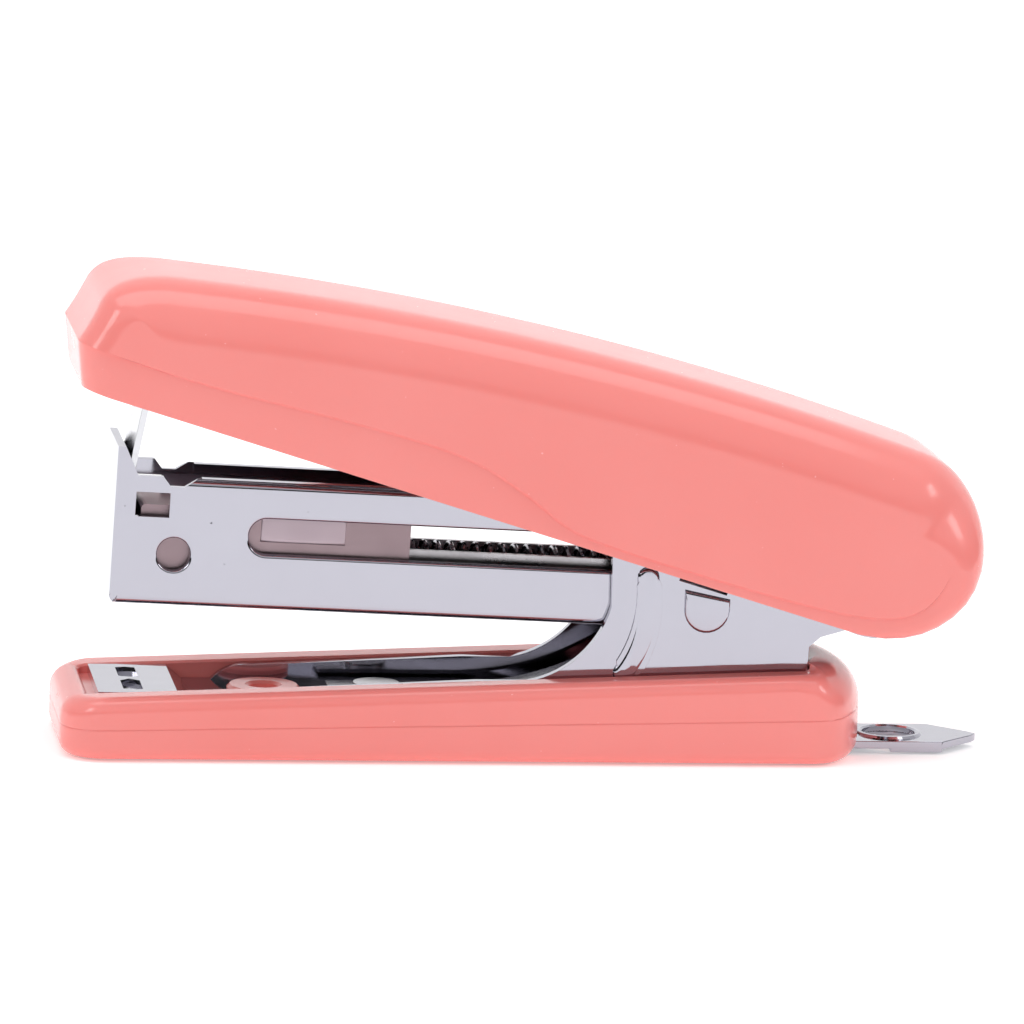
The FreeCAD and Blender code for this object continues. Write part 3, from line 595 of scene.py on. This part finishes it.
def base_plan():
    """Half of the base's plan from the middle of the front round to the middle of the rear, with inner points."""
    pairs = []
    corner = 4.5
    for t in spread(0, 1, 7)[:-1]:
        pairs.append(((BASE_FRONT, (BASE_HALF - corner) * t), (RECESS_FRONT, (RECESS_HALF - 0.9) * t)))
    for step in range(13):
        turn = math.radians(180 - 90 * step / 12)
        outer = (BASE_FRONT + corner + corner * math.cos(turn), BASE_HALF - corner + corner * math.sin(turn))
        inner = (RECESS_FRONT + 0.9 + 0.9 * math.cos(turn), RECESS_HALF - 0.9 + 0.9 * math.sin(turn))
        pairs.append((outer, inner))
    side_start, side_end = BASE_FRONT + corner, 29.0
    for t in spread(0, 1, 40)[1:]:
        inner_x = RECESS_FRONT + 0.9 + (RECESS_REAR - 0.9 - RECESS_FRONT - 0.9) * t
        pairs.append(((side_start + (side_end - side_start) * t, BASE_HALF), (inner_x, RECESS_HALF)))
    rear = [(29.0, 11.5), (31.2, 11.5), (32.7, 10.5), (33.9, 8.3), (34.8, 5.0), (35.4, 2.6), (35.4, 0.0)]
    for t in spread(0, 1, 22)[1:]:
        outer = bezier(rear, t)
        turn = math.radians(90 - 90 * min(1.0, t * 3))
        spot = (RECESS_REAR - 0.9 + 0.9 * math.cos(turn), RECESS_HALF - 0.9 + 0.9 * math.sin(turn))
        if t * 3 > 1:
            spot = (RECESS_REAR, (RECESS_HALF - 0.9) * (1 - (t * 3 - 1) / 2))
        pairs.append(((outer.x, outer.y), spot))
    return pairs


def rim_height(x):
    return 6.42 + (min(x, 30.0) + 42.2) * 0.0407


def base_section(spot, normal, inner):
    """One cross-section of the base, from the cavity's ceiling out, up the side and down into the recess."""
    x = spot.x
    top = rim_height(x) + 0.6 * ease((x - 29) / 3)
    rear = ease((x - 28.0) / 4.5)
    round_top = 1.6 + 0.6 * ease((-44 - x) / 4) + 3.2 * rear
    crease = 3.1 + (x + 47.2) * 0.0211
    section = [(2.0, CAVITY_TOP), (1.7, 0.25), (1.5, 0.0), (1.3, 0.0)]
    for turn in spread(0, math.pi / 2, 6):
        section.append((1.3 * (1 - math.sin(turn)), 1.3 * (1 - math.cos(turn))))
    section += [(0.0, crease - 0.13), (0.09, crease), (0.0, crease + 0.13)]
    for turn in spread(0, math.pi / 2, 10):
        section.append((round_top * (1 - math.cos(turn)), top - round_top + round_top * math.sin(turn)))
    points = [(spot.x - normal.x * depth, spot.y - normal.y * depth, z) for depth, z in section]
    inner_top = top - 0.1 - 0.35 * rear
    lip = Vector(inner)
    outward = (spot - lip).normalized() * 0.25
    points.append((lip.x + outward.x, lip.y + outward.y, inner_top))
    points.append((lip.x, lip.y, inner_top - 0.25))
    points.append((lip.x, lip.y, RECESS_FLOOR))
    return points


def make_base(material):
    """The plastic shoe, its recess floor, the ledge under the anvil and the two staked bosses."""
    half = base_plan()
    loop = half + [((x, -y), (u, -v)) for (x, y), (u, v) in reversed(half[1:-1])]
    count = len(loop)
    rings = []
    for index, (spot, inner) in enumerate(loop):
        before = Vector(loop[index - 1][0])
        after = Vector(loop[(index + 1) % count][0])
        along = (after - before).normalized()
        rings.append(base_section(Vector(spot), Vector((-along.y, along.x)), inner))
    depth = len(rings[0])
    vertices = [point for ring in rings for point in ring]
    faces = []
    for index in range(count):
        following = (index + 1) % count
        for k in range(depth - 1):
            faces.append((index * depth + k, index * depth + k + 1, following * depth + k + 1, following * depth + k))
    faces.append(tuple(index * depth for index in range(count)))
    faces.append(tuple(index * depth + depth - 1 for index in reversed(range(count))))
    base = solid("base_shoe", vertices, faces, WORLD, material, sharp=38)
    cut_away(base, "tongue_slot", (30, -4.8, -1), (40, 4.8, 1.55), WORLD)
    flatten(base)
    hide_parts("base_cover")
    attach(base, "base")
    ledge = [(x, y, z) for x in (-45.6, -36.2) for y in (-7.6, 7.6) for z in (3.8, 5.28)]
    box_faces = [(0, 1, 3, 2), (4, 6, 7, 5), (0, 4, 5, 1), (2, 3, 7, 6), (0, 2, 6, 4), (1, 5, 7, 3)]
    attach(solid("anvil_ledge", ledge, box_faces, WORLD, material), "base")
    for name, x in (("boss_front", -26.7), ("boss_rear", 12.0)):
        ring = [(1.6, 2.4), (3.0, 2.4), (3.0, 5.02), (3.8, 5.02), (3.8, 5.5), (3.5, 5.8), (1.9, 5.8), (1.6, 5.5)]
        boss = lathe(name, ring, WORLD @ Matrix.Translation((x, 0, 0)), material)
        attach(boss, "base")
    return base


# ---------------------------------------------------------------- springs


def helix(radius, length, turns, steps=14):
    """Points of a helix along +X."""
    count = turns * steps
    return [
        (length * k / count, radius * math.cos(2 * math.pi * k / steps), radius * math.sin(2 * math.pi * k / steps))
        for k in range(count + 1)
    ]


def make_springs(material):
    """The pusher's coil, the lid's torsion spring and the leaf that lifts the magazine."""
    place = MAGAZINE @ Matrix.Translation((-50.2, 0, -3.8))
    coil = tube_along("pusher_coil", helix(1.55, 35.0, 26), 0.22, place, material, 6)
    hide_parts("pusher_spring")
    attach(coil, "magazine")
    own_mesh(coil)
    turn_points = [(2.55 * math.sin(p[1]), p[0], 2.55 * math.cos(p[1])) for p in zip(spread(-1.6, 1.6, 85), spread(0, 8 * math.pi, 85))]
    low_leg = [(-12.4, -1.2, -7.95), (-6.0, -1.3, -5.0), (-2.4, -1.6, -1.2)]
    wound = tube_along("return_coil", low_leg + turn_points, 0.36, MAGAZINE, material, 8)
    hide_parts("handle_return_spring")
    attach(wound, "magazine")
    high_leg = tube_along("return_leg", [(-0.4, 1.5, 2.5), (-6, 1.3, 5.0), (-17, 1.2, 8.75)], 0.36, DRIVER, material, 8)
    attach(high_leg, "handle")
    outline = [(-20.0, 5.25), (-13.0, 5.25), (-6.0, 5.25)]
    for turn in spread(0, math.radians(42), 22)[1:]:
        outline.append((-6 + 29.1 * math.sin(turn), 5.25 + 29.1 * (1 - math.cos(turn))))
    vertices = [(x, y, z + rise) for x, z in outline for y, rise in ((-3, 0), (3, 0), (3, 0.4), (-3, 0.4))]
    count = len(outline)
    faces = grid_faces(count, 4, closed=True) + [(0, 1, 2, 3), tuple(4 * count - k for k in (4, 3, 2, 1))]
    leaf = solid("lift_leaf", vertices, faces, WORLD, material)
    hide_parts("magazine_lift_spring")
    attach(leaf, "base")
    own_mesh(leaf)


# ---------------------------------------------------------------- sheet metal


def refine(name, body, place, folds, width):
    """A riding copy of a CAD piece with its folds rounded, each fold a test of an edge's ends and a radius."""
    node = frame["nodes"][name]
    mesh = node.data.copy()
    mesh.transform(place.inverted())
    work = bmesh.new()
    work.from_mesh(mesh)
    bmesh.ops.remove_doubles(work, verts=work.verts, dist=0.01)
    bmesh.ops.dissolve_limit(work, angle_limit=math.radians(1.5), verts=work.verts, edges=work.edges)
    for test, radius in folds:
        chosen = [edge for edge in work.edges if is_fold(edge) and all(test(*vertex.co) for vertex in edge.verts)]
        bmesh.ops.bevel(
            work, geom=chosen, offset=radius, offset_type="OFFSET", segments=4, profile=0.5, affect="EDGES",
            clamp_overlap=False,
        )
    work.to_mesh(mesh)
    work.free()
    mesh.transform(place)
    item = bpy.data.objects.new(f"{name}_sheet", mesh)
    bpy.context.scene.collection.objects.link(item)
    shade(mesh, 40)
    bevel(item, width, 30, 2)
    flatten(item)
    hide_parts(name)
    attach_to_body(item, body)
    return item


def is_fold(edge):
    """Whether an edge bends its two faces outwards by more than 50 degrees."""
    return len(edge.link_faces) == 2 and edge.is_convex and edge.calc_face_angle() > math.radians(50)


def plateau(name, outline, place, side, face, height, body):
    """A raised area pressed out of a side wall, from its outline in (x, z), with a rounded shoulder."""
    count = len(outline)
    area = sum(outline[k - 1][0] * outline[k][1] - outline[k][0] * outline[k - 1][1] for k in range(count))
    winding = math.copysign(1, area)
    vertices = []
    for inset, rise in ((0, -0.1), (0.0, 0.03), (0.12, 0.6), (0.3, 0.9), (0.5, 1.0)):
        for index, point in enumerate(outline):
            before = Vector(outline[index - 1])
            after = Vector(outline[(index + 1) % count])
            along = (after - before).normalized()
            spot = Vector(point) + Vector((-along.y, along.x)) * inset * winding
            vertices.append((spot.x, side * (face + rise * height), spot.y))
    faces = grid_faces(5, count, closed=True)
    faces += [tuple(range(count)), tuple(range(4 * count, 5 * count))]
    item = solid(name, vertices, faces, place, chrome, sharp=50)
    return attach(item, body)


def capsule(path, half):
    """The outline of a band of one half-width round a path, with round ends, counter-clockwise."""
    points = [Vector(point) for point in path]
    left, right = [], []
    for index, point in enumerate(points):
        along = (points[min(index + 1, len(points) - 1)] - points[max(index - 1, 0)]).normalized()
        across = Vector((-along.y, along.x))
        left.append(point + across * half)
        right.append(point - across * half)
    first = (points[1] - points[0]).normalized()
    last = (points[-1] - points[-2]).normalized()
    cap_end = [points[-1] + rotated(last, turn) * half for turn in spread(-90, 90, 9)[1:-1]]
    cap_start = [points[0] + rotated(-first, turn) * half for turn in spread(-90, 90, 9)[1:-1]]
    return [*right, *cap_end, *reversed(left), *cap_start]


def make_pressings():
    """The curved bead and the tab pressed out of each cheek of the base frame."""
    bead = [bezier([(9.7, 8.7), (12.6, 12.6), (11.9, 18.7)], t) for t in spread(0, 1, 14)]
    tab = [(18.12 + 2.38 * math.cos(turn), 15.4 + 2.45 * math.sin(turn)) for turn in spread(math.pi, 2 * math.pi, 14)]
    tab = [(15.75, 17.5), *tab, (20.5, 16.5)]
    for label, side in (("near", -1), ("far", 1)):
        plateau(f"cheek_bead_{label}", capsule(bead, 1.15), WORLD, side, 6.95, 0.32, "base")
        plateau(f"cheek_tab_{label}", tab, WORLD, side, 6.95, 0.3, "base")


def make_pusher_pads():
    """The lighter area pressed out of each side of the pusher."""
    outline = [(-64.6, -2.35), (-55.9, -2.35), (-55.9, 0.7), (-64.6, 0.7)]
    pale = plated_steel("pusher_pad", (0.47, 0.38, 0.42), (0.3, 0.45), 0.03, 0)
    for label, side in (("near", -1), ("far", 1)):
        pad = plateau(f"pusher_pad_{label}", outline, MAGAZINE, side, 4.5, 0.15, "pusher")
        pad.data.materials[0] = pale


def make_sheets():
    """The sheet metal that shows, with its bends rounded."""
    refine("magazine_channel", "magazine", MAGAZINE, (
        (lambda x, y, z: z < -9.1 and abs(y) > 5.6, 0.85),
        (lambda x, y, z: z > 3.85 and abs(y) > 5.6 and x > -72, 0.75),
        (lambda x, y, z: x < -77.9 and abs(y) > 5.6 and z < 3.9, 0.45),
        (lambda x, y, z: -67 < x < -25 and -3.6 < z < 0.3 and abs(y) > 5.6, 0.4),
        (lambda x, y, z: math.hypot(x + 73.5, z + 3.87) < 2 and abs(y) > 5.6, 0.3),
    ), 0.1)
    refine("base_frame", "base", WORLD, (
        (lambda x, y, z: z < 4.2 and abs(y) > 6.7, 0.8),
    ), 0.16)
    refine("staple_remover", "base", WORLD, (
        (lambda x, y, z: x > 33 and z > 1.1 and abs(y) > 1, 0.45),
    ), 0.1)
    lip = [(2.76, 0.7), (3.5, 1.1), (3.5, 1.2), (3.3, 1.42), (3.0, 1.45), (2.76, 1.3)]
    ring = lathe("remover_lip", lip, WORLD @ Matrix.Translation((38.95, 0, 0)), chrome)
    attach(ring, "base")


# ---------------------------------------------------------------- build

add_camera()
add_world()
add_backdrop(backdrop_paper())
add_softbox("top_softbox", (0.0, -0.05, 0.9), (0, 0, 0.03), (1.1, 0.5), 3.2)
add_softbox("left_softbox", (-0.75, -0.5, 0.55), (0, 0, 0.03), (0.3, 0.4), 1.5)
add_softbox("right_softbox", (0.8, -0.35, 0.55), (0, 0, 0.03), (0.25, 0.35), 1.3)

pink = pink_plastic("pink_plastic")
chrome = plated_steel("bright_chrome", (0.475, 0.468, 0.525), (0.04, 0.11))
dull_steel = plated_steel("plain_steel", (0.5, 0.48, 0.5), (0.2, 0.35), 0.06)
spring_steel = plated_steel("spring_steel", (0.5, 0.49, 0.52), (0.12, 0.25), 0.03, 0)
rivet_steel = plated_steel("rivet_steel", (0.66, 0.65, 0.68), (0.15, 0.3), 0.03, 0.5)
pusher_steel = plated_steel("pusher_steel", (0.36, 0.27, 0.29), (0.3, 0.45), 0.03, 0)
driver_steel = plated_steel("driver_steel", (0.7, 0.7, 0.73), (0.12, 0.25), 0.03, 0.5)
LOOKS = {
    "pink_plastic": pink,
    "bright_chrome": chrome,
    "plain_steel": dull_steel,
    "spring_steel": spring_steel,
    "rivet_steel": rivet_steel,
    "pusher_steel": pusher_steel,
    "driver_steel": driver_steel,
}
BEVELS = {"base_frame": 0.28, "magazine_channel": 0.3, "staple_remover": 0.18, "driver_blade": 0.06, "pusher": 0.2}

for entry in frame["record"]["subparts"]:
    node = frame["nodes"][entry["node"]]
    node.data.materials.clear()
    node.data.materials.append(LOOKS[entry["material_slot"]])
    weld = node.modifiers.new("weld", "WELD")
    weld.merge_threshold = 0.00002
    if entry["material_slot"] != "pink_plastic":
        bevel(node, BEVELS.get(entry["node"], 0.12), 30)

make_lid(pink)
make_base(pink)
make_springs(spring_steel)
make_sheets()
make_pressings()
make_pusher_pads()

bpy.context.scene.view_settings.view_transform = "Standard"
